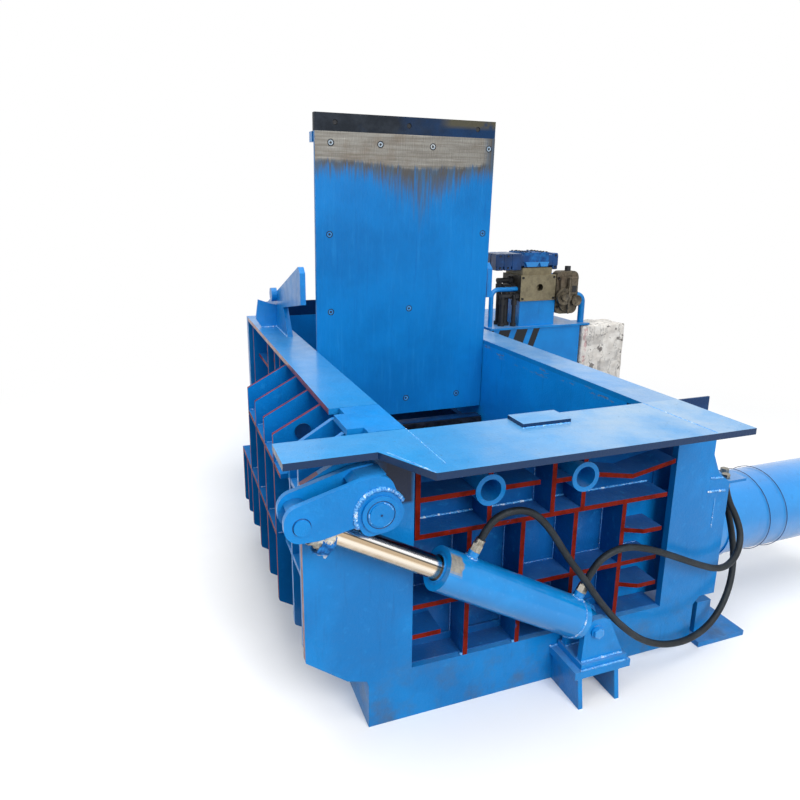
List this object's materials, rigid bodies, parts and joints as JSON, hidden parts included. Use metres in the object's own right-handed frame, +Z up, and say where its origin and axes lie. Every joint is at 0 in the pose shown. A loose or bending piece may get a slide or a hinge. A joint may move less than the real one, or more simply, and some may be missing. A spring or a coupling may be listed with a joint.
{
  "type": "scrap metal baler",
  "caption": "Hydraulic scrap baler with an upright lid, main and side rams, a turn-out door worked by a front cylinder, and an oil power unit beside it.",
  "frame": {"origin": "floor level under the chamber's centreline, halfway along the base frame", "axes": "+Y from the front plate to the main cylinder, +X to the side cylinder, +Z up"},
  "size_m": [2.5867, 3.568, 1.9542],
  "materials": {
    "blue_paint": "glossy machinery enamel over sand-blasted plate",
    "machined_steel": "turned and zinc plated",
    "blade_steel": "dark hardened steel",
    "chromed_rod": "ground hard chrome",
    "hose_rubber": "matt hose cover",
    "cast_block": "phosphated steel block",
    "paper_wrap": "crumpled paper wrapping",
    "dark_coil": "moulded coil housing"
  },
  "bodies": {
    "frame": {"base_frame": "blue_paint", "bell_housing": "blue_paint", "boss_tubes": "blue_paint", "floor_plate": "blue_paint", "front_frame_plate": "blue_paint", "front_shear_blade": "blade_steel", "front_wall_plate": "blue_paint", "front_wall_ribs": "blue_paint", "hopper_sheet": "blue_paint", "hose_end_fittings": "machined_steel", "hose_lower": "hose_rubber", "hose_upper": "hose_rubber", "left_wall_plate": "blue_paint", "left_wall_ribs": "blue_paint", "lid_base_bracket": "blue_paint", "lid_hinge_shaft": "machined_steel", "lid_side_plates": "blue_paint", "main_cylinder_barrel": "blue_paint", "manifold_block": "cast_block", "motor": "blue_paint", "oil_pipe": "blue_paint", "oil_tank": "blue_paint", "pump": "cast_block", "rear_crosshead": "blue_paint", "right_wall_plate": "blue_paint", "right_wall_ribs": "blue_paint", "shaft_bearings": "machined_steel", "side_cylinder_barrel": "blue_paint", "side_cylinder_flange": "blue_paint", "side_ram_housing": "blue_paint", "support_feet": "blue_paint", "tank_cover": "blue_paint", "top_flanges": "blue_paint", "turn_bracket": "blue_paint", "valve_bodies": "blue_paint", "valve_solenoids": "dark_coil", "wrapped_cooler": "paper_wrap"},
    "lid": {"lid_wear_plate": "blue_paint", "lid_bolts": "machined_steel", "lid_frame": "blue_paint", "lid_blade": "blade_steel", "lid_arms": "blue_paint", "lid_lug": "blue_paint"},
    "lid_barrel": {"lid_cylinder_barrel": "blue_paint"},
    "lid_rod": {"lid_cylinder_rod": "chromed_rod"},
    "main_ram": {"main_ram_head": "blue_paint", "main_ram_blade": "blade_steel", "main_ram_rod": "chromed_rod"},
    "side_ram": {"side_ram_head": "blue_paint", "side_ram_rod": "chromed_rod"},
    "turn_door": {"door_panel": "blue_paint", "door_arms": "blue_paint", "door_top_plate": "blue_paint", "door_shaft": "machined_steel", "crank_arm": "blue_paint", "crank_pin": "machined_steel"},
    "turn_barrel": {"turn_barrel": "blue_paint", "turn_gland": "machined_steel", "turn_hose_fittings": "machined_steel"},
    "turn_rod": {"turn_rod": "chromed_rod"}
  },
  "joints": [
    {"name": "lid_hinge", "type": "hinge", "parent": "frame", "child": "lid", "pos_m": [0, 0.1635, 0.7445], "axis": [1, 0, 0], "range_deg": [0, 88]},
    {"name": "lid_barrel_pivot", "type": "hinge", "parent": "frame", "child": "lid_barrel", "pos_m": [0, 0.95, 1.01], "axis": [1, 0, 0], "range_deg": [0, 21]},
    {"name": "lid_rod_slide", "type": "slide", "parent": "lid_barrel", "child": "lid_rod", "axis": [0, -0.983, 0.1835], "range_m": [0, 0.45]},
    {"name": "main_ram_slide", "type": "slide", "parent": "frame", "child": "main_ram", "axis": [0, -1, 0], "range_m": [0, 0.729]},
    {"name": "side_ram_slide", "type": "slide", "parent": "frame", "child": "side_ram", "axis": [-1, 0, 0], "range_m": [0, 0.542]},
    {"name": "turn_door_hinge", "type": "hinge", "parent": "frame", "child": "turn_door", "pos_m": [-0.565, -0.934, 0.789], "axis": [0, 1, 0], "range_deg": [-105, 0]},
    {"name": "turn_barrel_pivot", "type": "hinge", "parent": "frame", "child": "turn_barrel", "pos_m": [0.174, -1.272, 0.254], "axis": [0, 1, 0], "range_deg": [-3.2, 0]},
    {"name": "turn_rod_slide", "type": "slide", "parent": "turn_barrel", "child": "turn_rod", "axis": [-0.8727, 0, 0.4883], "range_m": [-0.331, 0]}
  ],
  "couplings": [
    {"joint": "lid_barrel_pivot", "follows": "lid_hinge", "ratio": 0.23642},
    {"joint": "lid_rod_slide", "follows": "lid_hinge", "m_per_rad": 0.29088},
    {"joint": "turn_barrel_pivot", "follows": "turn_door_hinge", "ratio": 0.03},
    {"joint": "turn_rod_slide", "follows": "turn_door_hinge", "m_per_rad": 0.1798}
  ]
}
